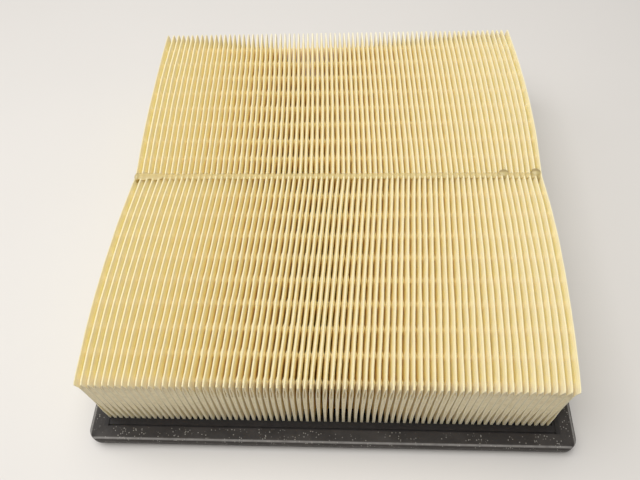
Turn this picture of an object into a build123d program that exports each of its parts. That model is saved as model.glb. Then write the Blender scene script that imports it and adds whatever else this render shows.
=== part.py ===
from build123d import *

import os

# Pleated panel air filter for an engine air box.
# Origin: centre of the frame's underside.  X runs across the pleats, Y along them, Z up.
# All sizes are in millimetres.

# Filter paper
PLEATS = 72                # whole pleats; a flap, half a pleat, stands past the first and the last
PAPER = 0.45               # thickness of the embossed sheet
PACK_LENGTH = 250.0        # along each pleat
PACK_TOP = 57.6            # crest of the upper folds
PACK_FOOT = 2.2            # lowest point of the lower folds
FOOT_WIDTH = 228.2         # over the two flaps where the frame grips them
TOP_WIDTH = 231.8          # the pack fans out a little towards its crests
CREST_THICK = 1.1          # one pleat over both layers, just below its crest
ROOT_THICK = 1.9           # the same pleat at its root

# Glue
SEAM_DEPTH = 3.0           # how far each end seam reaches in from the pleat's end
OPEN_TIP = 10.0            # the seams stop this far below the crests
BEAD_WIDTH = 4.4           # along the pleats
BEAD_SINK = 2.2            # how far a bead runs down between the crests
BEAD_PROUD = 0.6           # how far it stands above them
BEAD_ROUND = 0.9           # rounding of its long edges
DROP_RADIUS = 3.4          # the blob where the upper bead's stroke ends
DROP_HEIGHT = 5.0

# Moulded frame
FRAME_WIDTH = 251.0
FRAME_LENGTH = 274.0
FRAME_THICK = 9.0
CORNER = 6.5               # outer corner radius, seen from above
EDGE_ROUND = 2.0           # rounding of the lip's upper edge
LIP_THICK = 4.8            # the lip that the air box clamps
LIP_OVERHANG = 1.4         # how far the wall below stands back from the lip
GRIP_SIDE = 5.5            # how far the moulding reaches in over the flap and the outer pleats
GRIP_END = 7.0             # how far it reaches in along the pleats from each end
WINDOW_CORNER = 4.0
STEP_DEPTH = 0.5           # the bed round the paper lies this far below the flange's top
STEP_SIDE = 1.6            # width of the bed beside the flaps
STEP_END = 4.4             # width of the bed past the pleat ends
GROOVE_WIDTH = 1.0         # a groove along the bed's outer edge at each end
GROOVE_DEPTH = 1.3         # below the flange's top

# Worked-out sizes
MIDDLE = (PLEATS - 1) / 2
TOP_PITCH = (TOP_WIDTH + CREST_THICK - 2 * PAPER) / (PLEATS + 1)
FOOT_PITCH = (FOOT_WIDTH + ROOT_THICK - 2 * PAPER) / (PLEATS + 1)
CREST_RADIUS = CREST_THICK / 2
ROOT_RADIUS = (FOOT_PITCH - ROOT_THICK) / 2 + PAPER
CREST_Z = PACK_TOP - CREST_RADIUS
ROOT_Z = PACK_FOOT + ROOT_RADIUS


def crest_x(pleat):
    """Centre of a pleat at its crest."""
    return (pleat - MIDDLE) * TOP_PITCH


def foot_x(pleat):
    """Centre of a pleat at its root."""
    return (pleat - MIDDLE) * FOOT_PITCH


def flank(pleat, side, inset):
    """A layer's line from its root to its crest: side -1 is a pleat's left layer, 1 its right one."""
    root = Vector(foot_x(pleat) + side * (ROOT_THICK / 2 - inset), 0, ROOT_Z)
    return root, Vector(crest_x(pleat) + side * (CREST_RADIUS - inset), 0, CREST_Z)


def sheet_side(inset):
    """One face of the folded sheet, from left to right: inset 0 is its upper face, PAPER its lower."""
    start, top = flank(-1, 1, inset)
    edges = [Edge.make_line(top, start)]
    for pleat in range(PLEATS + 1):
        low = Vector(foot_x(pleat - 0.5), 0, ROOT_Z - (ROOT_RADIUS - PAPER + inset))
        foot, left = flank(pleat, -1, inset)
        edges.append(Edge.make_three_point_arc(start, low, foot))
        edges.append(Edge.make_line(foot, left))
        if pleat < PLEATS:
            top = Vector(crest_x(pleat), 0, CREST_Z + CREST_RADIUS - inset)
            start, right = flank(pleat, 1, inset)
            edges.append(Edge.make_three_point_arc(left, top, right))
            edges.append(Edge.make_line(right, start))
    return edges


def filter_paper():
    """The folded sheet, one solid, that starts and ends with a flap standing as high as a crest."""
    upper = sheet_side(0)
    lower = sheet_side(PAPER)
    ends = [
        Edge.make_line(upper[0] @ 0, lower[0] @ 0),
        Edge.make_line(upper[-1] @ 1, lower[-1] @ 1),
    ]
    profile = Face(Wire(upper + lower + ends))
    pack = extrude(profile, amount=PACK_LENGTH, dir=(0, 1, 0))
    return Pos(0, -PACK_LENGTH / 2, 0) * pack


def pleat_gap(pleat, low, high):
    """Outline of the space between the two layers of one pleat, from one height to another."""
    def half_and_middle(height):
        share = (height - ROOT_Z) / (CREST_Z - ROOT_Z)
        thick = ROOT_THICK + (CREST_THICK - ROOT_THICK) * share
        return thick / 2 - PAPER, foot_x(pleat) + (crest_x(pleat) - foot_x(pleat)) * share

    low_half, low_x = half_and_middle(low)
    high_half, high_x = half_and_middle(high)
    return Face(Wire.make_polygon([
        (low_x - low_half, 0, low),
        (low_x + low_half, 0, low),
        (high_x + high_half, 0, high),
        (high_x - high_half, 0, high),
    ]))


def pleat_seams(near_y):
    """The glue that closes one end of every pleat, a separate strip in each."""
    strips = []
    for pleat in range(PLEATS):
        outline = pleat_gap(pleat, FRAME_THICK - STEP_DEPTH, PACK_TOP - OPEN_TIP)
        strips.append(Pos(0, near_y, 0) * extrude(outline, amount=SEAM_DEPTH, dir=(0, 1, 0)))
    return Compound(children=strips)


def largest(pieces):
    """The bead itself: what the cut leaves inside the folds isn't glue."""
    return pieces.solids().sort_by(SortBy.VOLUME)[-1]


def upper_spacer_bead(paper):
    """Hot-melt laid across the crests, run down between them, with the blob where it ended."""
    low = PACK_TOP - BEAD_SINK
    high = PACK_TOP + BEAD_PROUD
    bar = Pos(0, 0, (low + high) / 2) * Box(TOP_WIDTH + 1.0, BEAD_WIDTH, high - low)
    bar = fillet(bar.edges().filter_by(Axis.X).group_by(Axis.Z)[-1], BEAD_ROUND)
    drop = Cylinder(DROP_RADIUS, DROP_HEIGHT)
    drop = fillet(drop.edges().filter_by(GeomType.CIRCLE), BEAD_ROUND)
    drop = Pos(TOP_WIDTH / 2 - 1.0, 0, high - DROP_HEIGHT / 2) * drop
    return largest(bar + drop - paper)


def lower_spacer_bead(paper):
    """The matching bead across the lower folds, between the frame's two sides."""
    low = PACK_FOOT - BEAD_PROUD
    high = PACK_FOOT + BEAD_SINK
    bar = Pos(0, 0, (low + high) / 2) * Box(FOOT_WIDTH - 2 * GRIP_SIDE, BEAD_WIDTH, high - low)
    bar = fillet(bar.edges().filter_by(Axis.X).group_by(Axis.Z)[0], BEAD_ROUND)
    return largest(bar - paper)


def frame_blank():
    """The solid flange: a rounded lip over a wall that stands back from it."""
    lip_outline = RectangleRounded(FRAME_WIDTH, FRAME_LENGTH, CORNER)
    lip = Pos(0, 0, FRAME_THICK - LIP_THICK) * extrude(lip_outline, amount=LIP_THICK)
    lip = fillet(lip.edges().group_by(Axis.Z)[-1], EDGE_ROUND)
    wall_outline = RectangleRounded(
        FRAME_WIDTH - 2 * LIP_OVERHANG, FRAME_LENGTH - 2 * LIP_OVERHANG, CORNER - LIP_OVERHANG
    )
    return lip + extrude(wall_outline, amount=FRAME_THICK - LIP_THICK)


def seal_frame(paper):
    """The moulding: flange, sunk bed and window for the paper, two end grooves, and the pleats' grip."""
    window = RectangleRounded(
        FOOT_WIDTH - 2 * GRIP_SIDE, PACK_LENGTH - 2 * GRIP_END, WINDOW_CORNER
    )
    bed_width = FOOT_WIDTH + 2 * STEP_SIDE
    bed_length = PACK_LENGTH + 2 * STEP_END
    frame = frame_blank() - extrude(window, amount=FRAME_THICK)
    frame -= Pos(0, 0, FRAME_THICK) * Box(bed_width, bed_length, 2 * STEP_DEPTH)
    for end in (-1, 1):
        groove_y = end * (bed_length - GROOVE_WIDTH) / 2
        frame -= Pos(0, groove_y, FRAME_THICK) * Box(bed_width, GROOVE_WIDTH, 2 * GROOVE_DEPTH)
    return frame - paper


def write(node, shape):
    """Write one sub-part to its STEP file."""
    export_step(shape, os.path.join("parts", node + ".step"))


os.makedirs("parts", exist_ok=True)
PAPER_SHEET = filter_paper()
write("filter_paper", PAPER_SHEET)
write("front_pleat_seams", pleat_seams(-PACK_LENGTH / 2))
write("rear_pleat_seams", pleat_seams(PACK_LENGTH / 2 - SEAM_DEPTH))
write("upper_spacer_bead", upper_spacer_bead(PAPER_SHEET))
write("lower_spacer_bead", lower_spacer_bead(PAPER_SHEET))
write("seal_frame", seal_frame(PAPER_SHEET))
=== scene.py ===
"""A deep-pleated panel air filter: its paper, glue and finishes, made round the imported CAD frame.

The folded paper, the glue in its ends and the beads across it all follow one rule, PackLines, which
says where any point of the pack lies.  Sizes are in millimetres until a mesh or the camera needs metres.
"""

import logging
import math
from dataclasses import dataclass, fields
from enum import Enum
from typing import Union

import bmesh
import bpy
from mathutils import Euler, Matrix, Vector


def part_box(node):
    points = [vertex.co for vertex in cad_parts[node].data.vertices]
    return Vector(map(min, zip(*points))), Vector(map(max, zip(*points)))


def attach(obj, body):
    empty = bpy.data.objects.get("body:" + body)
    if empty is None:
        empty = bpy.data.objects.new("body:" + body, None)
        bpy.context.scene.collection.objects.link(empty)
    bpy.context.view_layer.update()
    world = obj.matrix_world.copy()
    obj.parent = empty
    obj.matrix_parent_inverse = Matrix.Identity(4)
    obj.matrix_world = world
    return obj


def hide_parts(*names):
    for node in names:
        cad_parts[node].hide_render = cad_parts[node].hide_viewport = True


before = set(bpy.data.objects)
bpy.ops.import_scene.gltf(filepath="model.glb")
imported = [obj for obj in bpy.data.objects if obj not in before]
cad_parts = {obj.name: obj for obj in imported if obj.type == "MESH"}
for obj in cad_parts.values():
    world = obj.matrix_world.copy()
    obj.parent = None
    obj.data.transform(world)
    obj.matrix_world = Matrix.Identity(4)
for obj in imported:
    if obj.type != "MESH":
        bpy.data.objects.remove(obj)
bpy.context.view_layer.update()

MM = 0.001
LOG = logging.getLogger("air_filter")
NOISE_SPREAD = 2.6  # stretches the noise texture to about -1 to 1

Number = Union["Wire", float]
Triple = tuple[float, float, float]
Colour = Triple
Shade = Union[Colour, bpy.types.NodeSocket]
Span = tuple[float, float]


class End(Enum):
    """One end of the pleats, with the sign of its Y."""

    FRONT = -1
    REAR = 1


class Face(Enum):
    """A face of the pack that a spacer bead lies across."""

    UPPER = "upper"
    LOWER = "lower"


# ---------------------------------------------------------------- node trees


@dataclass(frozen=True)
class Wire:
    """One number running through a node tree; arithmetic on it adds Math nodes."""

    bench: "Bench"
    socket: bpy.types.NodeSocket

    def __add__(self, other: Number) -> "Wire":
        """Sum with a number."""
        return self.bench.sum("ADD", self, other)

    __radd__ = __add__

    def __sub__(self, other: Number) -> "Wire":
        """Difference from a number."""
        return self.bench.sum("SUBTRACT", self, other)

    def __rsub__(self, other: Number) -> "Wire":
        """A number less this wire."""
        return self.bench.sum("SUBTRACT", other, self)

    def __mul__(self, other: Number) -> "Wire":
        """Product with a number."""
        return self.bench.sum("MULTIPLY", self, other)

    __rmul__ = __mul__

    def __truediv__(self, other: Number) -> "Wire":
        """Quotient by a number."""
        return self.bench.sum("DIVIDE", self, other)

    def __pow__(self, other: Number) -> "Wire":
        """Power of this wire."""
        return self.bench.sum("POWER", self, other)

    def __neg__(self) -> "Wire":
        """This wire with its sign changed."""
        return self.bench.sum("MULTIPLY", self, -1.0)

    def __abs__(self) -> "Wire":
        """Size without sign."""
        return self.bench.sum("ABSOLUTE", self)

    def __gt__(self, other: Number) -> "Wire":
        """1 where this wire is the greater, otherwise 0."""
        return self.bench.sum("GREATER_THAN", self, other)

    def __lt__(self, other: Number) -> "Wire":
        """1 where this wire is the less, otherwise 0."""
        return self.bench.sum("LESS_THAN", self, other)

    def round(self) -> "Wire":
        """Nearest whole number."""
        return self.bench.sum("ROUND", self)

    def sin(self) -> "Wire":
        """Sine of an angle in radians."""
        return self.bench.sum("SINE", self)

    def cos(self) -> "Wire":
        """Cosine of an angle in radians."""
        return self.bench.sum("COSINE", self)

    def sign(self) -> "Wire":
        """-1, 0 or 1."""
        return self.bench.sum("SIGN", self)

    def at_least(self, other: Number) -> "Wire":
        """The greater of this wire and a number."""
        return self.bench.sum("MAXIMUM", self, other)

    def at_most(self, other: Number) -> "Wire":
        """The less of this wire and a number."""
        return self.bench.sum("MINIMUM", self, other)


class Bench:
    """Adds nodes to one node tree."""

    def __init__(self, tree: bpy.types.NodeTree) -> None:
        """Starts on an empty tree.

        Args:
            tree: The tree that the nodes go into.
        """
        self.tree = tree

    def add(self, kind: str, settings: dict | None = None, inputs: dict | None = None) -> bpy.types.Node:
        """Adds one node.

        Args:
            kind: The node's type.
            settings: Its properties, set before anything is joined to it.
            inputs: Values, wires or sockets for its inputs, by name or place.

        Returns:
            The new node.
        """
        node = self.tree.nodes.new(kind)
        for name, value in (settings or {}).items():
            setattr(node, name, value)
        for key, value in (inputs or {}).items():
            source = value.socket if isinstance(value, Wire) else value
            if isinstance(source, bpy.types.NodeSocket):
                self.tree.links.new(source, node.inputs[key])
            else:
                node.inputs[key].default_value = source
        return node

    def sum(self, operation: str, *values: Number) -> Wire:
        """One Math node.

        Args:
            operation: The Math node's operation.
            *values: Its inputs in order.

        Returns:
            The result.
        """
        node = self.add("ShaderNodeMath", {"operation": operation}, dict(enumerate(values)))
        return Wire(self, node.outputs[0])

    def blend(self, start: Number, end: Number, share: Number) -> Wire:
        """Start where the share is 0, end where it is 1."""
        return share * (end - start) + start

    def ramp(self, value: Number, low: Number, high: Number, smooth: bool = True) -> Wire:
        """Rises from 0 to 1 as a value goes from low to high.

        Args:
            value: What is measured.
            low: Where the ramp starts.
            high: Where it is full.
            smooth: Whether it eases in and out.

        Returns:
            The share, from 0 to 1.
        """
        way = "SMOOTHSTEP" if smooth else "LINEAR"
        node = self.add("ShaderNodeMapRange", {"interpolation_type": way}, {0: value, 1: low, 2: high})
        return Wire(self, node.outputs[0])

    def vector(self, x: Number, y: Number, z: Number = 0.0) -> bpy.types.NodeSocket:
        """Three numbers as one vector."""
        return self.add("ShaderNodeCombineXYZ", None, {0: x, 1: y, 2: z}).outputs[0]

    def parts(self, vector: bpy.types.NodeSocket) -> tuple[Wire, Wire, Wire]:
        """A vector's three numbers."""
        node = self.add("ShaderNodeSeparateXYZ", None, {0: vector})
        return Wire(self, node.outputs[0]), Wire(self, node.outputs[1]), Wire(self, node.outputs[2])

    def drift(self, x: Number, y: Number, seed: float) -> Wire:
        """Smooth unevenness over a plane, from about -1 to 1, about one wave to each unit.

        Args:
            x: First coordinate.
            y: Second coordinate.
            seed: Fixed offset that sets this unevenness apart from others.

        Returns:
            The unevenness.
        """
        place = self.vector(x, y, seed)
        node = self.add("ShaderNodeTexNoise", None, {"Vector": place, "Scale": 1.0, "Detail": 0.0})
        return (Wire(self, node.outputs[0]) - 0.5) * NOISE_SPREAD


@dataclass(frozen=True)
class Waver:
    """Smooth seeded unevenness from pleat to pleat and along each of them.

    Attributes:
        per_lane: Waves to a pleat.
        per_mm: Waves to a millimetre along the pleats.
        seed: Sets this unevenness apart from others.
        size: How far it reaches either way.
        row: Where along the noise a waver without per_mm is read.
    """

    per_lane: float
    per_mm: float
    seed: float
    size: float
    row: float = 0.0

    def at(self, lane: Wire, along: Number = 0.0) -> Wire:
        """The unevenness at a place on the pack.

        Args:
            lane: Which pleat.
            along: Y in millimetres.

        Returns:
            The unevenness, from about -size to size.
        """
        return lane.bench.drift(lane * self.per_lane, along * self.per_mm + self.row, self.seed) * self.size


class ShapeBench(Bench):
    """A geometry tree with a named input for each size, and the mesh that it grows."""

    def __init__(self, name: str) -> None:
        """Makes the empty tree.

        Args:
            name: The tree's name.
        """
        super().__init__(bpy.data.node_groups.new(name, "GeometryNodeTree"))
        self.tree.interface.new_socket("Mesh", in_out="OUTPUT", socket_type="NodeSocketGeometry")
        self.given: dict[str, float] = {}
        self.entry = self.tree.nodes.new("NodeGroupInput")

    def size(self, name: str, value: float) -> Wire:
        """Adds a named input.

        Args:
            name: The size in words.
            value: What this piece is made with.

        Returns:
            The input as a wire.
        """
        whole = isinstance(value, int)
        kind = "NodeSocketInt" if whole else "NodeSocketFloat"
        socket = self.tree.interface.new_socket(name, in_out="INPUT", socket_type=kind)
        self.given[socket.identifier] = value
        return Wire(self, next(out for out in self.entry.outputs if out.identifier == socket.identifier))

    def sheet(self, columns: Number, rows: Number) -> tuple[bpy.types.NodeSocket, Wire, Wire]:
        """A flat grid whose corners are counted, ready to be put in place.

        Args:
            columns: Steps across.
            rows: Steps along.

        Returns:
            The mesh, and each corner's column and row.
        """
        counts = {"Size X": columns, "Size Y": rows, "Vertices X": columns + 1, "Vertices Y": rows + 1}
        grid = self.add("GeometryNodeMeshGrid", None, counts)
        x, y, _ = self.parts(self.add("GeometryNodeInputPosition").outputs[0])
        return grid.outputs["Mesh"], (x + columns / 2).round(), (y + rows / 2).round()

    def place(self, mesh: bpy.types.NodeSocket, x: Number, y: Number, z: Number) -> bpy.types.NodeSocket:
        """Moves every corner to a place in millimetres."""
        where = self.vector(x * MM, y * MM, z * MM)
        return self.add("GeometryNodeSetPosition", None, {"Geometry": mesh, "Position": where}).outputs[0]

    def merge(self, mesh: bpy.types.NodeSocket, distance: float) -> bpy.types.NodeSocket:
        """Joins corners that lie within a distance in millimetres."""
        inputs = {0: mesh, "Distance": distance * MM}
        return self.add("GeometryNodeMergeByDistance", None, inputs).outputs[0]

    def grow(self, name: str, mesh: bpy.types.NodeSocket, finish: bpy.types.Material) -> bpy.types.Object:
        """Ends the tree, runs it, and keeps the result as a plain mesh.

        Args:
            name: The piece's name.
            mesh: The tree's finished mesh.
            finish: The material that the piece gets.

        Returns:
            The piece, with no modifier left on it.
        """
        real = self.add("GeometryNodeRealizeInstances", None, {0: mesh}).outputs[0]
        smooth = self.add("GeometryNodeSetShadeSmooth", None, {0: real}).outputs[0]
        dressed = self.add("GeometryNodeSetMaterial", None, {"Geometry": smooth, "Material": finish})
        self.add("NodeGroupOutput", None, {0: dressed.outputs[0]})
        piece = bpy.data.objects.new(name, bpy.data.meshes.new(name + "_start"))
        bpy.context.scene.collection.objects.link(piece)
        modifier = piece.modifiers.new("Shape", "NODES")
        modifier.node_group = self.tree
        for identifier, value in self.given.items():
            modifier[identifier] = value
        settle(piece)
        return piece


def settle(piece: bpy.types.Object) -> None:
    """Turns a piece's modifiers into plain mesh.

    Args:
        piece: The piece, whose modifiers are removed.
    """
    evaluated = piece.evaluated_get(bpy.context.evaluated_depsgraph_get())
    mesh = bpy.data.meshes.new_from_object(evaluated)
    mesh.name = piece.name
    piece.modifiers.clear()
    piece.data = mesh


# ---------------------------------------------------------------- the pack's shape


@dataclass(frozen=True)
class PackShape:
    """Every size of the pleated pack, in millimetres; shares and powers are named as such."""

    # The sheet and its folds
    lanes: int
    length: float
    crest: float
    foot: float
    foot_width: float = 228.2
    paper: float = 0.45
    crest_thick: float = 0.96
    crest_rise: float = 0.7
    crest_clear: float = 0.25
    shoulder_thick: float = 2.3
    shoulder_drop: float = 2.6
    root_rise: float = 1.46

    # Embossed ribs: where they stand, and the depths at which they start, are full, ease off and end
    rib_pitch: float = 13.7
    first_rib: float = -121.0
    last_rib: float = 112.0
    rib_reach: float = 6.0
    rib_power: float = 15.0
    rib_start: float = 0.6
    rib_full: float = 1.9
    rib_ease: float = 14.0
    rib_end: float = 32.0
    first_rib_ease: float = 5.0
    first_rib_end: float = 13.0

    # Crest lines: half widths, leans to the right, bows and skews at the waist and at both ends
    waist_half: float = 114.4
    front_half: float = 115.3
    rear_half: float = 114.3
    front_swell: float = 2.88
    rear_swell: float = 2.25
    waist_lean: float = 2.45
    front_lean: float = -1.4
    rear_lean: float = 0.2
    rear_lean_swell: float = 0.68
    waist_bow: float = 3.5
    front_bow: float = 0.0
    rear_bow: float = 1.33
    waist_skew: float = 0.55
    front_skew: float = 0.45
    rear_skew: float = 0.75
    skew_swell: float = 1.05
    flap_flare: float = 0.5
    flare_power: float = 61.0

    # How the pleats bend between foot and crest
    bend_power: float = 1.3
    front_foot_shift: float = 1.65
    front_foot_bow: float = 1.4
    front_curl: float = -3.0
    rear_curl: float = -2.2
    front_uncurl: float = 7.6
    rear_uncurl: float = 2.5
    front_end_curl: float = 0.6
    end_curl_reach: float = 13.0

    # Glued front ends: blades that are wider in the pack's outer parts, and unribbed at the very end
    blade_reach: float = 11.0
    unribbed_reach: float = 3.5
    pressed_edge: float = 0.3
    outer_from_share: float = 0.35
    outer_full_share: float = 0.72
    blade_share: float = 0.64
    blade_outer_share: float = 0.31
    blade_fall: float = 9.0
    blade_outer_fall: float = 5.0
    blade_foot_share: float = 0.38
    blade_foot_from: float = 13.0
    blade_foot_outer: float = 8.0
    blade_foot_full: float = 43.0
    slit: float = 13.0
    slit_full_share: float = 0.35

    # Glued rear ends: thin tails
    tail_reach: float = 12.0
    tail_full: float = 3.0
    tail_share: float = 0.44

    @classmethod
    def from_cad(cls) -> "PackShape":
        """Reads the pack's outer sizes from the CAD frame.

        Returns:
            The shape, with the CAD paper's length, crest and foot.
        """
        low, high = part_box("filter_paper")
        return cls(
            lanes=73,
            length=(high[1] - low[1]) / MM,
            crest=high[2] / MM,
            foot=low[2] / MM,
        )


class PackLines:
    """The rule that says where each point of the pack lies, as wires in one geometry tree.

    A lane counts folds from the left: crests stand at whole numbers, roots at halves, and the sheet
    starts and stops with a flap as high as a crest, at the first lane and the last.
    Height runs from 0 at a pleat's root to 1 just below its crest.
    """

    WANDER = Waver(0.83, 0.021, 3.1, 0.26)
    KINK = Waver(1.31, 0.075, 7.7, 0.12)
    PLUMPNESS = Waver(1.7, 0.05, 11.3, 0.07)
    EMBOSSING = Waver(2.3, 0.07, 19.9, 0.10)
    FULL_EMBOSSING = 0.99
    LEAST_GAP = 0.02  # between the pleats at a rib
    LEAST_HOLLOW = 0.05  # between a pleat's two layers

    def __init__(self, bench: ShapeBench, shape: PackShape) -> None:
        """Gives the tree one input for each of the pack's sizes.

        Args:
            bench: The tree.
            shape: The sizes.
        """
        self.bench = bench
        self.size = {
            entry.name: bench.size(entry.name.replace("_", " "), getattr(shape, entry.name))
            for entry in fields(shape)
        }

    def ends(self, front: Number, rear: Number, along: Wire) -> Wire:
        """Picks between a front and a rear size by which half of the pack a point is in."""
        return self.bench.blend(front, rear, along > 0.0)

    def reach(self, along: Wire) -> Wire:
        """How far out a point is, from 0 at mid-length to 1 at either end."""
        return abs(along) * 2 / self.size["length"]

    def aside(self, lane: Wire) -> Wire:
        """How far across a point is, from -1 at the first lane to 1 at the last."""
        return lane / self.size["lanes"] * 2 - 1

    def crest_base(self) -> Wire:
        """The height at which a pleat's fold starts to round over."""
        return self.size["crest"] - self.size["crest_rise"] - self.size["crest_clear"]

    def crest_line(self, lane: Wire, along: Wire) -> Wire:
        """X of a pleat's crest: the pack has a waist at mid-length and swells between it and the ends.

        Args:
            lane: Which pleat.
            along: Y.

        Returns:
            X.
        """
        size, blend = self.size, self.bench.blend
        reach = self.reach(along)
        swell = reach * (1 - reach) * 4
        half = blend(size["waist_half"], self.ends(size["front_half"], size["rear_half"], along), reach)
        half = half + swell * self.ends(size["front_swell"], size["rear_swell"], along)
        lean = blend(size["waist_lean"], self.ends(size["front_lean"], size["rear_lean"], along), reach)
        lean = lean + swell * self.ends(0.0, size["rear_lean_swell"], along)
        bow = blend(size["waist_bow"], self.ends(size["front_bow"], size["rear_bow"], along), reach)
        skew = blend(size["waist_skew"], self.ends(size["front_skew"], size["rear_skew"], along), reach)
        turn = lane / size["lanes"] * math.pi
        uneven = bow * turn.sin() + (skew + swell * size["skew_swell"]) * (turn * 2).sin()
        flare = self.aside(lane) ** size["flare_power"] * size["flap_flare"]
        wavering = self.WANDER.at(lane, along) + self.KINK.at(lane, along)
        return lean + self.aside(lane) * half + uneven + flare + wavering

    def centre(self, lane: Wire, along: Wire, height: Wire) -> Wire:
        """X of a pleat's middle plane: held at its foot, bent over towards its crest line.

        Args:
            lane: Which pleat.
            along: Y.
            height: Share of the pleat's height.

        Returns:
            X.
        """
        size = self.size
        foot = (lane / size["lanes"] - 0.5) * size["foot_width"]
        reach = self.reach(along)
        shift = size["front_foot_shift"] + (lane / size["lanes"] * math.pi).sin() * size["front_foot_bow"]
        foot = foot - self.ends(shift, 0.0, along) * reach
        curl = self.ends(size["front_curl"], size["rear_curl"], along)
        curl = curl + reach * self.ends(size["front_uncurl"], size["rear_uncurl"], along)
        held = self.bench.ramp(along + size["length"] / 2, size["end_curl_reach"], 0.0)
        curl = self.bench.blend(curl, size["front_end_curl"], held)
        bend = (self.crest_line(lane, along) - foot) * height ** size["bend_power"]
        return foot + bend + curl * height * (height - 1)

    def rib(self, along: Wire, depth: Wire) -> Wire:
        """How fully the embossed ribs stand out, from 0 between them to 1 where pleats touch.

        Args:
            along: Y.
            depth: How far below the crest.

        Returns:
            The share.
        """
        size, ramp = self.size, self.bench.ramp
        phase = ((along - size["first_rib"]) * math.pi / size["rib_pitch"]).cos()
        ridge = (phase * phase) ** size["rib_power"] * (along < size["last_rib"] + size["rib_reach"])
        fade = ramp(depth, size["rib_end"], size["rib_ease"])
        first_fade = ramp(depth, size["first_rib_end"], size["first_rib_ease"])
        fade = self.bench.blend(fade, first_fade, along < size["first_rib"] + size["rib_reach"])
        return ridge * ramp(depth, size["rib_start"], size["rib_full"]) * fade

    def half_thick(self, lane: Wire, along: Wire, height: Wire, half_pitch: Wire) -> Wire:
        """Half a pleat's thickness over both its layers.

        Args:
            lane: Which pleat.
            along: Y.
            height: Share of the pleat's height.
            half_pitch: Half the distance to the next pleat here.

        Returns:
            The half thickness.
        """
        bench, size = self.bench, self.size
        depth = (1 - height) * (size["crest"] - size["foot"])
        tip = size["crest_thick"] / 2
        shoulder = size["shoulder_thick"] / 2 + self.PLUMPNESS.at(lane, along)
        free = bench.blend(shoulder, tip, bench.sum("EXPONENT", depth / -size["shoulder_drop"]))

        from_front = along + size["length"] / 2
        outer = bench.ramp(abs(self.aside(lane)), size["outer_from_share"], size["outer_full_share"])
        wide = half_pitch * (size["blade_share"] + outer * size["blade_outer_share"])
        fall = size["blade_fall"] - outer * size["blade_outer_fall"]
        blade = bench.blend(tip, wide, bench.ramp(depth, 0.0, fall))
        narrow_from = size["blade_foot_from"] + outer * size["blade_foot_outer"]
        narrowed = bench.ramp(depth, narrow_from, size["blade_foot_full"])
        blade = bench.blend(blade, half_pitch * size["blade_foot_share"], narrowed)
        thick = bench.blend(free, blade, bench.ramp(from_front, size["blade_reach"], size["pressed_edge"]))

        tail = (half_pitch * size["tail_share"]).at_most(free).at_least(size["paper"] + self.LEAST_HOLLOW)
        from_rear = size["length"] / 2 - along
        thick = bench.blend(thick, tail, bench.ramp(from_rear, size["tail_reach"], size["tail_full"]))

        ribbed = 1 - bench.ramp(from_front, size["unribbed_reach"], size["pressed_edge"])
        strength = self.EMBOSSING.at(lane, along) + self.FULL_EMBOSSING
        share = self.rib(along, depth) * strength.at_most(1.0) * ribbed
        return bench.blend(thick, half_pitch - self.LEAST_GAP, share)


# ---------------------------------------------------------------- finishes


class FinishBench(Bench):
    """A material's node tree, with the few patterns that the finishes share."""

    def __init__(self, name: str) -> None:
        """Makes the material.

        Args:
            name: The material's name.
        """
        self.material = bpy.data.materials.new(name)
        self.material.use_nodes = True
        super().__init__(self.material.node_tree)
        self.tree.nodes.clear()
        self.spot = self.add("ShaderNodeTexCoord").outputs["Object"]

    def place(self) -> tuple[Wire, Wire, Wire]:
        """The point's place on the object, in millimetres."""
        x, y, z = self.parts(self.spot)
        return x / MM, y / MM, z / MM

    def grain(self, grain_size: float, detail: float = 2.0, stretch: Triple = (1.0, 1.0, 1.0)) -> Wire:
        """Cloudy unevenness from 0 to 1.

        Args:
            grain_size: Size of its clouds in millimetres.
            detail: Octaves of finer clouds.
            stretch: How many times longer the clouds are along each axis.

        Returns:
            The unevenness.
        """
        scale = tuple(1 / (grain_size * MM * length) for length in stretch)
        spot = self.add("ShaderNodeMapping", None, {"Vector": self.spot, "Scale": scale}).outputs[0]
        node = self.add("ShaderNodeTexNoise", None, {"Vector": spot, "Scale": 1.0, "Detail": detail})
        return Wire(self, node.outputs[0])

    def cells(self, cell_size: float) -> tuple[Wire, Wire]:
        """Scattered cells.

        Args:
            cell_size: Distance between them in millimetres.

        Returns:
            The distance to the nearest cell's middle, and a number of its own for each cell.
        """
        node = self.add("ShaderNodeTexVoronoi", None, {"Vector": self.spot, "Scale": 1 / (cell_size * MM)})
        own, _, _ = self.parts(node.outputs["Color"])
        return Wire(self, node.outputs["Distance"]), own

    def tint(self, base: Shade, over: Shade, share: Number) -> bpy.types.NodeSocket:
        """Lays one colour over another.

        Args:
            base: Colour where the share is 0.
            over: Colour where it is 1.
            share: The share.

        Returns:
            The mixed colour.
        """
        start, end = (
            shade if isinstance(shade, bpy.types.NodeSocket) else (*shade, 1.0) for shade in (base, over)
        )
        node = self.add("ShaderNodeMix", {"data_type": "RGBA"}, {0: share, 6: start, 7: end})
        return node.outputs[2]

    def bump(self, height: Wire, distance: float, strength: float = 1.0) -> bpy.types.NodeSocket:
        """A bumped surface whose full height is a distance in millimetres."""
        inputs = {"Height": height, "Distance": distance * MM, "Strength": strength}
        return self.add("ShaderNodeBump", None, inputs).outputs[0]

    def finish(self, inputs: dict) -> bpy.types.Material:
        """Ends the material in one Principled shader.

        Args:
            inputs: The shader's inputs by name.

        Returns:
            The material.
        """
        shader = self.add("ShaderNodeBsdfPrincipled", None, inputs)
        self.add("ShaderNodeOutputMaterial", None, {"Surface": shader.outputs[0]})
        return self.material


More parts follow.
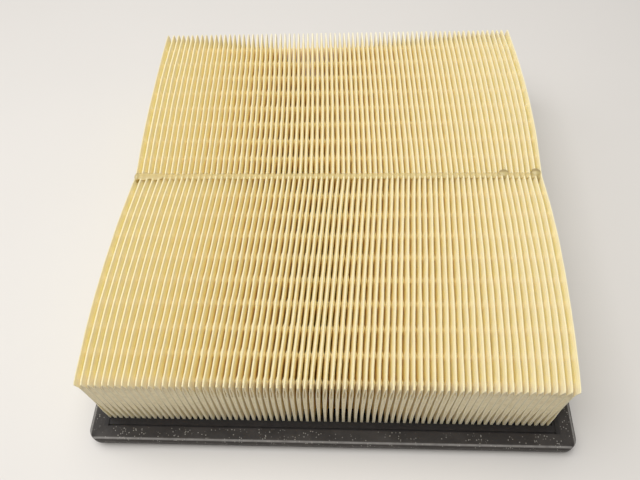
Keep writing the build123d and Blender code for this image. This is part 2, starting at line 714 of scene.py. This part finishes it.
@dataclass(frozen=True)
class FilterPaper:
    """Resin-soaked filter paper: cream, fibrous, a little tanner where it is embossed, with painted shade
    and light: yellower down the flanks and orange deep in the gaps for light bounced between the pleats,
    and paler at the rear ends of the middle pleats for light from behind.

    Each span says from where to where, in millimetres, a tint goes from none to full.
    """

    shape: PackShape
    cream: Colour = (0.84, 0.72, 0.435)
    straw: Colour = (0.93, 0.85, 0.46)
    # painted shade: the flanks turn towards straw over these depths below the crest, for light bounced
    # between the pleats
    bounce_depth: Span = (0.4, 5.0)
    tan: Colour = (0.93, 0.80, 0.50)
    # painted shade: orange deep in the gaps, away from the ends and the outer pleats, for light bounced
    # many times between the pleats
    deep: Colour = (0.95, 0.72, 0.28)
    gap_shade_depth: Span = (3.5, 12.0)
    gap_shade_along: Span = (121.0, 117.0)
    gap_shade_across: Span = (108.0, 100.0)
    # painted light: the rear ends of the middle pleats paler, as if lit from behind
    bleached: Colour = (0.93, 0.90, 0.76)
    backlit_along: Span = (113.0, 119.0)
    backlit_across: Span = (80.0, 35.0)
    pressed: Colour = (0.80, 0.70, 0.49)
    pressed_along: Span = (119.0, 123.5)
    pressed_depth: Span = (0.8, 3.0)
    fleck: Colour = (0.60, 0.44, 0.21)
    fleck_pitch: float = 2.4

    def material(self) -> bpy.types.Material:
        """Makes the finish.

        Returns:
            The material.
        """
        bench = FinishBench("filter_paper")
        across, along, up = bench.place()
        down = self.shape.crest - up
        phase = ((along - self.shape.first_rib) * 2 * math.pi / self.shape.rib_pitch).cos()
        # cream to straw by random grain, and by depth below the crest as painted shade for light bounced
        # between the pleats
        depth = bench.ramp(down, *self.bounce_depth)
        colour = bench.tint(self.cream, self.straw, bench.grain(2.6, 3.0) * 0.5 + depth * 0.9 - 0.1)
        colour = bench.tint(colour, self.tan, bench.ramp(phase, 0.2, 1.0) * depth * 0.7)
        # painted shade: orange deep in the gaps, for light bounced between the pleats
        inside = bench.ramp(abs(along), *self.gap_shade_along) * bench.ramp(abs(across), *self.gap_shade_across)
        colour = bench.tint(colour, self.deep, bench.ramp(down, *self.gap_shade_depth) * inside * 0.8)
        # painted light: paler rear ends, as if lit from behind
        backlit_ends = bench.ramp(along, *self.backlit_along) * bench.ramp(abs(across), *self.backlit_across)
        colour = bench.tint(colour, self.bleached, backlit_ends * 0.55)
        pinched = bench.ramp(abs(along), *self.pressed_along) * bench.ramp(down, *self.pressed_depth)
        colour = bench.tint(colour, self.pressed, pinched * 0.8)
        distance, own = bench.cells(self.fleck_pitch)
        flecks = bench.ramp(distance, 0.13, 0.07) * (own > 0.72)
        colour = bench.tint(colour, self.fleck, flecks * 0.45)
        fibres = bench.grain(0.5, 3.0, (1.0, 2.5, 1.0)) + bench.grain(0.22, 1.0) * 0.5
        return bench.finish({
            "Base Color": colour,
            "Roughness": 0.74 + bench.grain(1.5) * 0.2,
            "Normal": bench.bump(fibres, 0.10, 0.8),
            "Specular IOR Level": 0.04,
            "Subsurface Weight": 0.3,
            "Subsurface Radius": (1.0, 0.9, 0.5),
            "Subsurface Scale": 1.0 * MM,
        })


@dataclass(frozen=True)
class MouldedRubber:
    """Charcoal moulded polyurethane: faintly foamed, specked with pale dust, paler near its outer edge from
    wear and painted sheen, with a painted highlight along the rounded lip and painted shade on the inner
    strip under the pleats.

    Each span is a distance from the frame's outer edge, in millimetres and negative inwards.
    """

    half_width: float
    half_length: float
    charcoal: Colour = (0.013, 0.0105, 0.0095)
    ash: Colour = (0.034, 0.029, 0.026)
    # wear and painted sheen: ash lightens the band next to the outer edge
    wear_and_sheen_band: Span = (-3.2, -0.6)
    # painted shade: nearly black inside the groove, where the pleats overhang
    bed: Colour = (0.0055, 0.004, 0.004)
    bed_edge: Span = (-7.2, -8.0)
    # painted highlight: a thin pale line on the rounded lip of the outer edge
    rim: Colour = (0.22, 0.21, 0.20)
    rim_inner: Span = (-2.0, -1.5)
    rim_outer: Span = (-0.6, -1.1)
    dust: Colour = (0.44, 0.42, 0.38)
    dust_edge: Span = (-7.6, -6.8)
    dust_pitch: float = 1.1

    def material(self) -> bpy.types.Material:
        """Makes the finish.

        Returns:
            The material.
        """
        bench = FinishBench("frame_rubber")
        across, along, _ = bench.place()
        edge = (abs(across) - self.half_width).at_least(abs(along) - self.half_length)
        # wear and painted sheen towards the outer edge
        wear_and_sheen = bench.ramp(edge, *self.wear_and_sheen_band)
        clouds = bench.ramp(bench.grain(14.0, 4.0), 0.38, 0.68)
        colour = bench.tint(self.charcoal, self.ash, clouds * 0.6 + wear_and_sheen * 0.5)
        # painted shade inside the groove, under the pleats' overhang
        colour = bench.tint(colour, self.bed, bench.ramp(edge, *self.bed_edge) * 0.9)
        # painted highlight: a thin pale line on the rounded lip
        line = bench.ramp(edge, *self.rim_inner) * bench.ramp(edge, *self.rim_outer)
        colour = bench.tint(colour, self.rim, line * (0.3 + bench.grain(4.0, 3.0)))
        distance, own = bench.cells(self.dust_pitch)
        patches = bench.ramp(bench.grain(9.0, 2.0), 0.40, 0.52) * bench.ramp(edge, *self.dust_edge)
        specks = bench.ramp(distance, 0.32, 0.16) * (own > 0.55) * patches
        colour = bench.tint(colour, self.dust, specks * 0.6)
        pores, _ = bench.cells(0.7)
        surface = bench.grain(1.2, 3.0) + pores * 0.35 + bench.grain(6.0, 1.0) * 2.0
        return bench.finish({
            "Base Color": colour,
            "Roughness": 0.50 + bench.grain(3.0) * 0.25 + specks * 0.2,
            "Normal": bench.bump(surface, 0.22, 0.7),
            "Specular IOR Level": 0.25,
        })


@dataclass(frozen=True)
class HotMelt:
    """Clear amber hot-melt, cloudy where it is thick and showing the pleats where it is thin, darker along
    its far side as a painted shadow.
    """

    name: str = "bead_glue"
    amber: Colour = (0.74, 0.585, 0.22)
    # painted shadow: the darker tone along the bead's far side
    brown: Colour = (0.46, 0.34, 0.14)
    clear: float = 0.32

    def material(self) -> bpy.types.Material:
        """Makes the finish.

        Returns:
            The material.
        """
        bench = FinishBench(self.name)
        _, along, _ = bench.place()
        # painted shadow along the far side
        shadowed_far_edge = bench.ramp(along, 1.5, 2.1)
        colour = bench.tint(self.amber, self.brown, shadowed_far_edge * 0.9 + bench.grain(2.2, 2.0) * 0.2)
        ripples = bench.grain(1.6, 2.0) + bench.grain(0.6, 1.0) * 0.3
        return bench.finish({
            "Base Color": colour,
            "Alpha": bench.grain(3.0) * 0.3 + self.clear,
            "Roughness": 0.26 + bench.grain(2.0) * 0.2,
            "Normal": bench.bump(ripples, 0.35, 0.7),
            "Coat Weight": 0.2,
            "Coat Roughness": 0.15,
        })


@dataclass(frozen=True)
class SeamGlue:
    """Dry glue squeezed between two layers of paper, full of pulled fibres."""

    pale: Colour = (0.85, 0.72, 0.43)
    dark: Colour = (0.72, 0.59, 0.33)

    def material(self) -> bpy.types.Material:
        """Makes the finish.

        Returns:
            The material.
        """
        bench = FinishBench("seam_glue")
        colour = bench.tint(self.pale, self.dark, bench.ramp(bench.grain(1.8, 3.0), 0.35, 0.7))
        return bench.finish({
            "Base Color": colour,
            "Roughness": 0.45 + bench.grain(1.0) * 0.3,
            "Normal": bench.bump(bench.grain(0.6, 3.0), 0.2, 0.8),
        })


# ---------------------------------------------------------------- sub-assemblies


def report(piece: bpy.types.Object, node: str) -> None:
    """Hands a finished piece to the frame and logs it.

    Args:
        piece: The piece.
        node: The CAD node that it stands for.
    """
    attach(piece, "root")
    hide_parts(node)
    LOG.info("%s: %d faces, for %s", piece.name, len(piece.data.polygons), node)


@dataclass
class PleatedPaper:
    """The folded sheet, made in blocks of neighbouring pleats that meet at a root."""

    DIP = Waver(1.9, 0.04, 23.0, 0.18)

    shape: PackShape
    finish: bpy.types.Material
    cuts: tuple[float, ...] = (0.0, 9.5, 18.5, 27.5, 36.5, 45.5, 54.5, 63.5, 73.0)
    steps_each: int = 24
    rows_per_rib: int = 9
    crest_share: float = 3 / 12
    root_share: float = 10 / 12
    bunching: float = 0.78
    crowding: float = 2.4
    end_dip: float = 0.5
    end_dip_reach: float = 1.6
    sharp: float = math.radians(50)

    def build(self) -> list[bpy.types.Object]:
        """Makes every block of the sheet.

        Returns:
            The blocks, from left to right.
        """
        spans = zip(self.cuts, self.cuts[1:])
        return [self.block(number, start, stop) for number, (start, stop) in enumerate(spans, 1)]

    def along(self, bench: ShapeBench, lines: PackLines, row: Wire, rows: Wire) -> Wire:
        """Y of a row: rows crowd together at the ribs, where the sheet bends most.

        Args:
            bench: The tree.
            lines: The pack's rule.
            row: The row's number.
            rows: How many steps of rows there are.

        Returns:
            Y.
        """
        pitch, half = lines.size["rib_pitch"], lines.size["length"] / 2
        start = (-half - lines.size["first_rib"]) / pitch
        stop = (half - lines.size["first_rib"]) / pitch

        def crowd(phase: Wire) -> Wire:
            """Pulls a row towards the nearest rib."""
            return phase - (phase * 2 * math.pi).sin() * (self.bunching / (2 * math.pi))

        phase = bench.blend(start, stop, row / rows)
        share = (crowd(phase) - crowd(start)) / (crowd(stop) - crowd(start))
        return bench.blend(-half, half, share)

    def block(self, number: int, start_lane: float, stop_lane: float) -> bpy.types.Object:
        """Makes the pleats from one lane to another.

        Args:
            number: The block's number, from 1.
            start_lane: Its first lane.
            stop_lane: The lane that it ends at.

        Returns:
            The block.
        """
        bench = ShapeBench(f"pleats_{number}_shape")
        lines = PackLines(bench, self.shape)
        size = lines.size
        start = bench.size("first lane", start_lane)
        columns = bench.size("columns", round((stop_lane - start_lane) * self.steps_each))
        rows = bench.size("rows", round(self.shape.length / self.shape.rib_pitch * self.rows_per_rib))
        mesh, column, row = bench.sheet(columns, rows)
        along = self.along(bench, lines, row, rows)

        turn = start + column / self.steps_each
        lane = turn.round()
        across = (turn - lane) * 2
        reach = abs(across)
        crest_turn = bench.ramp(reach, 0.0, self.crest_share, False) * (math.pi / 2)
        fall = bench.ramp(reach, self.crest_share, self.root_share, False) ** self.crowding
        root_turn = bench.ramp(reach, self.root_share, 1.0, False) * (math.pi / 2)
        height = 1 - fall

        middle = lines.centre(lane, along, height)
        side = across.sign()
        half_pitch = abs(lines.centre(lane + side / 2, along, height) - middle)
        thick = lines.half_thick(lane, along, height, half_pitch)
        offset = thick * crest_turn.sin() + (half_pitch - thick) * (1 - root_turn.cos())
        end_gap = size["length"] / 2 - abs(along)
        dip = bench.ramp(end_gap, self.end_dip_reach, 0.0) * self.end_dip + self.DIP.at(lane, along)
        crest_base = lines.crest_base() - dip * height
        root_z = size["foot"] + size["root_rise"]
        upright = root_z + (crest_base - root_z) * height + size["crest_rise"] * crest_turn.cos()
        upright = upright - (half_pitch - thick) * root_turn.sin()
        placed = bench.place(mesh, middle + side * offset, along, upright)
        return self.thicken(bench.grow(f"pleats_{number}", placed, self.finish))

    def thicken(self, piece: bpy.types.Object) -> bpy.types.Object:
        """Gives the sheet its thickness, inwards from the face that was built.

        Args:
            piece: A block with no thickness.

        Returns:
            The same block, closed.
        """
        solid = piece.modifiers.new("Thickness", "SOLIDIFY")
        solid.thickness = self.shape.paper * MM
        solid.offset = -1.0
        settle(piece)
        piece.data.set_sharp_from_angle(angle=self.sharp)
        report(piece, "filter_paper")
        return piece


@dataclass
class EndSeams:
    """The glue that closes one end of every pleat, a strip inside each, pinched in along its top."""

    FILL = Waver(1.3, 0.0, 31.0, 1.0)

    shape: PackShape
    end: End
    finish: bpy.types.Material
    inset: float = 0.02
    depth: float = 3.2
    steps_up: int = 9
    bite: float = 0.04
    thinnest: float = 0.06
    foot_gap: float = 5.0
    top_gap: float = 1.2
    top_drop: float = 2.0
    pinch: float = 2.2
    outer_pinch: float = 0.25
    sharp: float = math.radians(40)

    def build(self) -> bpy.types.Object:
        """Makes all the strips of this end.

        Returns:
            The piece.
        """
        name = f"{self.end.name.lower()}_pleat_seams"
        bench = ShapeBench(name + "_shape")
        lines = PackLines(bench, self.shape)
        size = lines.size
        strip = bench.add("GeometryNodeMeshCube", None, {
            "Size": (0.5, 1.0, 1.0), "Vertices X": 3, "Vertices Y": 2, "Vertices Z": self.steps_up,
        })
        spots = bench.add("GeometryNodeMeshLine", None, {
            "Count": size["lanes"] - 1, "Start Location": (1.0, 0.0, 0.0), "Offset": (1.0, 0.0, 0.0),
        })
        copies = bench.add("GeometryNodeInstanceOnPoints", None, {
            "Points": spots.outputs[0], "Instance": strip.outputs["Mesh"],
        })
        mesh = bench.add("GeometryNodeRealizeInstances", None, {0: copies.outputs[0]}).outputs[0]
        x, y, z = bench.parts(bench.add("GeometryNodeInputPosition").outputs[0])
        lane = x.round()
        side = (x - lane) * 4
        outward = y * self.end.value + 0.5
        top = size["crest"] - self.top_gap - bench.ramp(self.FILL.at(lane), -0.6, 1.0) * self.top_drop
        upright = bench.blend(size["foot"] + self.foot_gap, top, z + 0.5)
        split = bench.ramp(size["crest"] - upright, size["slit"], size["slit"] * size["slit_full_share"])
        middle_of_strip = 1 - abs(side)
        central = bench.ramp(abs(lines.aside(lane)), 0.75, 0.2)
        pushed = split * middle_of_strip * outward * self.pinch * (self.outer_pinch + central)
        from_end = self.inset + self.depth * (1 - outward) + pushed
        along = (size["length"] / 2 - from_end) * self.end.value
        root_z = size["foot"] + size["root_rise"]
        height = (upright - root_z) / (lines.crest_base() - root_z)
        middle = lines.centre(lane, along, height)
        half_pitch = abs(lines.centre(lane + 0.5, along, height) - middle)
        gap = lines.half_thick(lane, along, height, half_pitch) - size["paper"] + self.bite
        placed = bench.place(mesh, middle + side * gap.at_least(self.thinnest), along, upright)
        piece = bench.grow(name, placed, self.finish)
        piece.data.set_sharp_from_angle(angle=self.sharp)
        report(piece, name)
        return piece


@dataclass
class SpacerBead:
    """Hot-melt run across the folds at mid-length, sagging between them."""

    SPREAD = Waver(0.4, 0.0, 41.0, 0.25)
    RIPPLE = Waver(1.6, 0.0, 43.0, 0.15, 5.0)
    STRAY = Waver(0.06, 0.0, 47.0, 0.35, 2.0)
    BARE_LANES = {Face.UPPER: 0.2, Face.LOWER: 1.8}

    shape: PackShape
    face: Face
    finish: bpy.types.Material
    steps_each: int = 6
    steps_round: int = 14
    half_width: float = 1.9
    proud: float = 0.15
    sag: float = 0.8
    body: float = 1.5
    middle: float = 0.4
    cap_lanes: float = 0.45
    weld: float = 0.01

    def build(self) -> bpy.types.Object:
        """Makes the bead.

        Returns:
            The piece.
        """
        name = f"{self.face.value}_spacer_bead"
        bench = ShapeBench(name + "_shape")
        lines = PackLines(bench, self.shape)
        size = lines.size
        upper = self.face is Face.UPPER
        half_width = bench.size("bead half width", self.half_width)
        proud = bench.size("bead above crests", self.proud)
        sag = bench.size("bead sag", self.sag)
        body = bench.size("bead thickness", self.body)
        inset = bench.size("lanes left bare", self.BARE_LANES[self.face])
        height = bench.size("share of the pleats' height", 1.0 if upper else 0.0)
        around = bench.size("steps round", self.steps_round)
        steps = size["lanes"] * self.steps_each
        mesh, column, row = bench.sheet(steps, around)
        lane = bench.blend(inset, size["lanes"] - inset, column / steps)
        cap = bench.ramp(lane, inset, inset + self.cap_lanes, False)
        cap = cap * bench.ramp(size["lanes"] - lane, inset, inset + self.cap_lanes, False)
        cap = cap**0.5
        width = half_width + self.SPREAD.at(lane) + self.RIPPLE.at(lane)
        stroke = self.middle + self.STRAY.at(lane)
        valley = (1 - (lane * 2 * math.pi).cos()) / 2
        turn = row * 2 * math.pi / around
        crest = size["crest"] - size["crest_clear"] + proud - valley * sag
        root = size["foot"] - proud + (1 - valley) * sag
        lift = (turn.sin() - 1) * 0.5 * body * cap
        upright = crest + lift if upper else root - lift
        along = stroke + turn.cos() * width * cap
        x = lines.centre(lane, stroke, height)
        placed = bench.merge(bench.place(mesh, x, along, upright), self.weld)
        piece = bench.grow(name, placed, self.finish)
        report(piece, name)
        return piece


@dataclass(frozen=True)
class Blob:
    """One round of glue: its middle and its three half sizes, in millimetres."""

    middle: Triple
    half: Triple


@dataclass
class GlueDrop:
    """A drop of hot-melt where the bead's stroke starts, ends or stutters, run together from blobs."""

    name: str
    blobs: tuple[Blob, ...]
    finish: bpy.types.Material
    voxel: float = 0.22
    flow_steps: int = 6
    flow_share: float = 0.6

    def build(self) -> bpy.types.Object:
        """Makes the drop.

        Returns:
            The piece.
        """
        corners: list[Vector] = []
        faces: list[tuple[int, ...]] = []
        for blob in self.blobs:
            start = len(corners)
            ball = bpy.data.meshes.new(self.name + "_ball")
            build_ball(ball)
            for corner in ball.vertices:
                spot = Vector(blob.middle) + Vector(a * b for a, b in zip(corner.co, blob.half))
                corners.append(spot * MM)
            faces += [tuple(start + index for index in face.vertices) for face in ball.polygons]
            bpy.data.meshes.remove(ball)
        mesh = bpy.data.meshes.new(self.name)
        mesh.from_pydata(corners, [], faces)
        piece = bpy.data.objects.new(self.name, mesh)
        bpy.context.scene.collection.objects.link(piece)
        union = piece.modifiers.new("Union", "REMESH")
        union.mode = "VOXEL"
        union.voxel_size = self.voxel * MM
        union.use_smooth_shade = True
        flow = piece.modifiers.new("Flow", "SMOOTH")
        flow.iterations = self.flow_steps
        flow.factor = self.flow_share
        settle(piece)
        piece.data.materials.clear()
        piece.data.materials.append(self.finish)
        report(piece, "upper_spacer_bead")
        return piece


def build_ball(mesh: bpy.types.Mesh) -> None:
    """Fills a mesh with a fine round ball of radius 1.

    Args:
        mesh: An empty mesh.
    """
    work = bmesh.new()
    bmesh.ops.create_icosphere(work, subdivisions=3, radius=1.0)
    work.to_mesh(mesh)
    work.free()


def dress_node(name: str, finish: bpy.types.Material) -> None:
    """Gives a CAD node that stays in view its finish.

    Args:
        name: The node.
        finish: The material.
    """
    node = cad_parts[name]
    node.data.materials.clear()
    node.data.materials.append(finish)
    LOG.info("%s: CAD node kept, finish %s", name, finish.name)


# ---------------------------------------------------------------- the studio


@dataclass(frozen=True)
class Lamp:
    """One soft square lamp: its place and the spot it faces, in metres."""

    name: str
    place: Triple
    side: float
    power: float
    colour: Colour = (1.0, 0.985, 0.96)
    aim: Triple = (0.0, 0.0, 0.03)

    def build(self) -> None:
        """Hangs the lamp."""
        data = bpy.data.lights.new(self.name, "AREA")
        data.size = self.side
        data.energy = self.power
        data.color = self.colour
        lamp = bpy.data.objects.new(self.name, data)
        lamp.location = self.place
        facing = Vector(self.aim) - Vector(self.place)
        lamp.rotation_euler = facing.to_track_quat("-Z", "Y").to_euler()
        bpy.context.scene.collection.objects.link(lamp)


@dataclass
class Studio:
    """Pale floor, soft lamps, plain surroundings and the camera."""

    eye: Triple = (0.01366, -0.22445, 0.32965)
    pitch_down: float = 56.33
    yaw: float = 5.78
    roll: float = -4.69
    lens: float = 34.9
    floor_side: float = 4.0
    floor_tone: Colour = (0.69, 0.665, 0.635)
    floor_shade: float = 0.97
    room_tone: Colour = (1.0, 0.98, 0.96)
    room_light: float = 0.35
    bounces: int = 12
    gamma: float = 1.2
    lamps: tuple[Lamp, ...] = (
        Lamp("window", (-1.05, 0.25, 0.95), 0.9, 4.5),
        Lamp("ceiling", (-0.12, 0.0, 0.80), 0.7, 5.7),
    )

    def build(self) -> None:
        """Sets up everything round the object."""
        self.floor()
        self.surroundings()
        self.camera()
        for lamp in self.lamps:
            lamp.build()

    def floor(self) -> None:
        """Lays the floor at the height the object stands on."""
        half = self.floor_side / 2
        mesh = bpy.data.meshes.new("floor")
        corners = [(-half, -half, 0.0), (half, -half, 0.0), (half, half, 0.0), (-half, half, 0.0)]
        mesh.from_pydata(corners, [], [(0, 1, 2, 3)])
        floor = bpy.data.objects.new("floor", mesh)
        bench = FinishBench("floor")
        shaded = tuple(self.floor_shade * part for part in self.floor_tone)
        tone = bench.tint(self.floor_tone, shaded, bench.grain(90.0, 3.0))
        mesh.materials.append(bench.finish({"Base Color": tone, "Roughness": 0.5}))
        bpy.context.scene.collection.objects.link(floor)

    def surroundings(self) -> None:
        """Fills the room with even, slightly warm light."""
        world = bpy.data.worlds.new("room")
        world.use_nodes = True
        light = world.node_tree.nodes["Background"].inputs
        light["Color"].default_value = (*self.room_tone, 1.0)
        light["Strength"].default_value = self.room_light
        scene = bpy.context.scene
        scene.world = world
        scene.cycles.diffuse_bounces = self.bounces
        scene.view_settings.view_transform = "Standard"
        scene.view_settings.gamma = self.gamma

    def camera(self) -> None:
        """Stands the camera in front of the filter, looking down on it."""
        data = bpy.data.cameras.new("camera")
        data.lens = self.lens
        data.clip_start = 0.01
        camera = bpy.data.objects.new("camera", data)
        camera.location = self.eye
        tilt = Euler((math.radians(90 - self.pitch_down), 0.0, 0.0)).to_matrix()
        turn = Euler((0.0, 0.0, math.radians(self.yaw))).to_matrix()
        roll = Euler((0.0, 0.0, math.radians(self.roll))).to_matrix()
        camera.rotation_euler = (turn @ tilt @ roll).to_euler()
        bpy.context.scene.collection.objects.link(camera)
        bpy.context.scene.camera = camera


def glue_drops(thin: bpy.types.Material, thick: bpy.types.Material) -> list[GlueDrop]:
    """The glue at the upper bead's two ends, and the two smears beside them.

    Args:
        thin: The finish of glue that the pleats show through.
        thick: The finish of glue that has gathered.

    Returns:
        The drops, not yet built.
    """
    return [
        GlueDrop("bead_start", (
            Blob((-111.9, 0.0, 56.5), (1.5, 2.7, 1.4)),
            Blob((-112.5, -1.6, 55.2), (1.1, 1.7, 1.9)),
            Blob((-112.9, -3.2, 53.6), (0.6, 0.9, 1.7)),
        ), thick),
        GlueDrop("bead_first_smear", (
            Blob((-107.5, 0.0, 57.0), (5.0, 2.9, 0.6)),
            Blob((-100.5, -0.1, 57.0), (4.5, 2.7, 0.55)),
        ), thin),
        GlueDrop("bead_end", (
            Blob((114.6, 2.1, 56.5), (2.7, 2.8, 1.7)),
            Blob((116.3, 0.0, 54.6), (1.4, 1.9, 2.2)),
            Blob((116.6, -2.0, 52.9), (0.7, 1.1, 1.6)),
        ), thick),
        GlueDrop("bead_last_smear", (Blob((96.9, 1.7, 57.0), (2.7, 2.5, 0.8)),), thick),
    ]


def main() -> None:
    """Builds the studio, then the filter round its CAD frame."""
    logging.basicConfig(level=logging.INFO, format="%(name)s: %(message)s")
    shape = PackShape.from_cad()
    Studio().build()
    PleatedPaper(shape, FilterPaper(shape).material()).build()
    seam_glue = SeamGlue().material()
    for end in End:
        EndSeams(shape, end, seam_glue).build()
    thin_melt = HotMelt().material()
    for face in Face:
        SpacerBead(shape, face, thin_melt).build()
    # the second colour is this glue's painted shadow along its far side
    thick_melt = HotMelt("thick_glue", (0.52, 0.405, 0.15), (0.32, 0.23, 0.08), 0.8).material()
    for drop in glue_drops(thin_melt, thick_melt):
        drop.build()
    _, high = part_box("seal_frame")
    dress_node("seal_frame", MouldedRubber(high[0] / MM, high[1] / MM).material())


if __name__ == "__main__":
    main()
